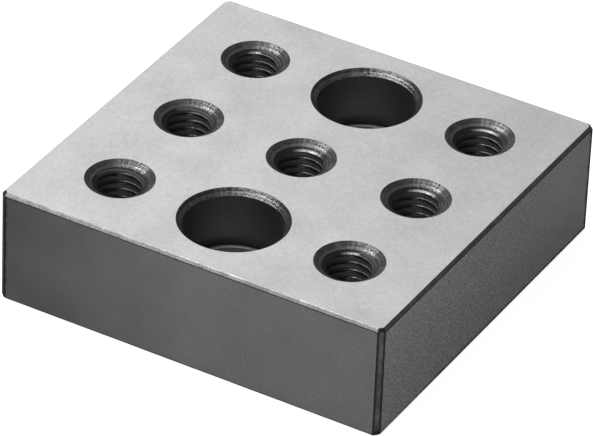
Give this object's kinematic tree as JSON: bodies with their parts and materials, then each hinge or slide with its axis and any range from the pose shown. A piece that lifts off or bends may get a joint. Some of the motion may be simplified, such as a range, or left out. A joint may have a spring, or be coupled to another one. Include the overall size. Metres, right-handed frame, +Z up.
{
  "type": "machinist setup block",
  "caption": "Square ground steel setup block with a grid of through holes, some tapped with countersunk mouths and some wide and stepped, and broken edges all round.",
  "frame": {"origin": "centre of the underside", "axes": "+Z up through the thickness, out of the face that the wide seats open on; +Y through both wide holes"},
  "size_m": [0.0762, 0.0762, 0.0222],
  "materials": {
    "ground_steel": "satin, ground"
  },
  "bodies": {
    "root": {"setup_block": "ground_steel"}
  },
  "joints": []
}
